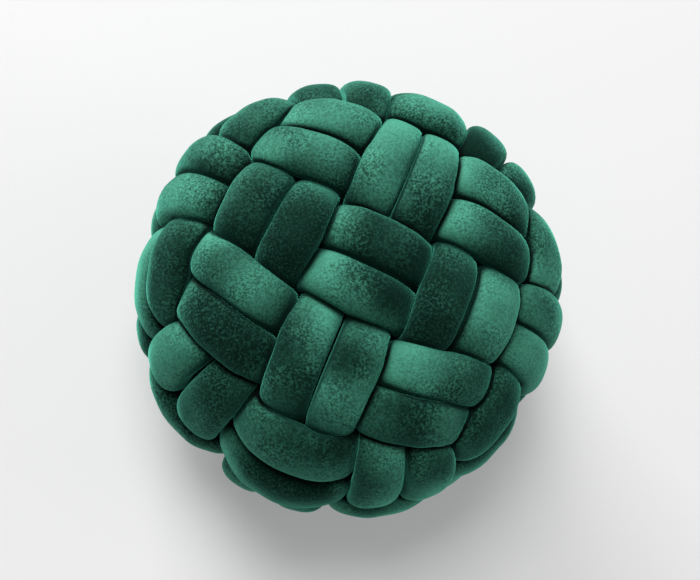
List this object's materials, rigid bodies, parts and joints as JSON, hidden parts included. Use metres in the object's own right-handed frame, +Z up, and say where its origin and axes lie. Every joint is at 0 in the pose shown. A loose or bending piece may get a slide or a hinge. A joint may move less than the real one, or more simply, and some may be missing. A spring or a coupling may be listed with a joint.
{
  "type": "woven tube pouf",
  "caption": "Low round floor pouf woven over and under from stuffed plush tubes laid in pairs, hollow inside, with a flattened underside.",
  "frame": {"origin": "middle of the bounding box at floor level", "axes": "+Z up, +X and +Y along the two directions in which the tubes cross the top"},
  "size_m": [0.446, 0.4654, 0.2793],
  "materials": {
    "velvet": "short-pile velvet, dark green, with a soft sheen"
  },
  "bodies": {
    "root": {"tube_x1": "velvet", "tube_x2": "velvet", "tube_x3": "velvet", "tube_x4": "velvet", "tube_x5": "velvet", "tube_x6": "velvet", "tube_y1": "velvet", "tube_y2": "velvet", "tube_y3": "velvet", "tube_y4": "velvet", "tube_y5": "velvet", "tube_y6": "velvet", "tube_z1": "velvet", "tube_z2": "velvet", "tube_z3": "velvet", "tube_z4": "velvet"}
  },
  "joints": []
}
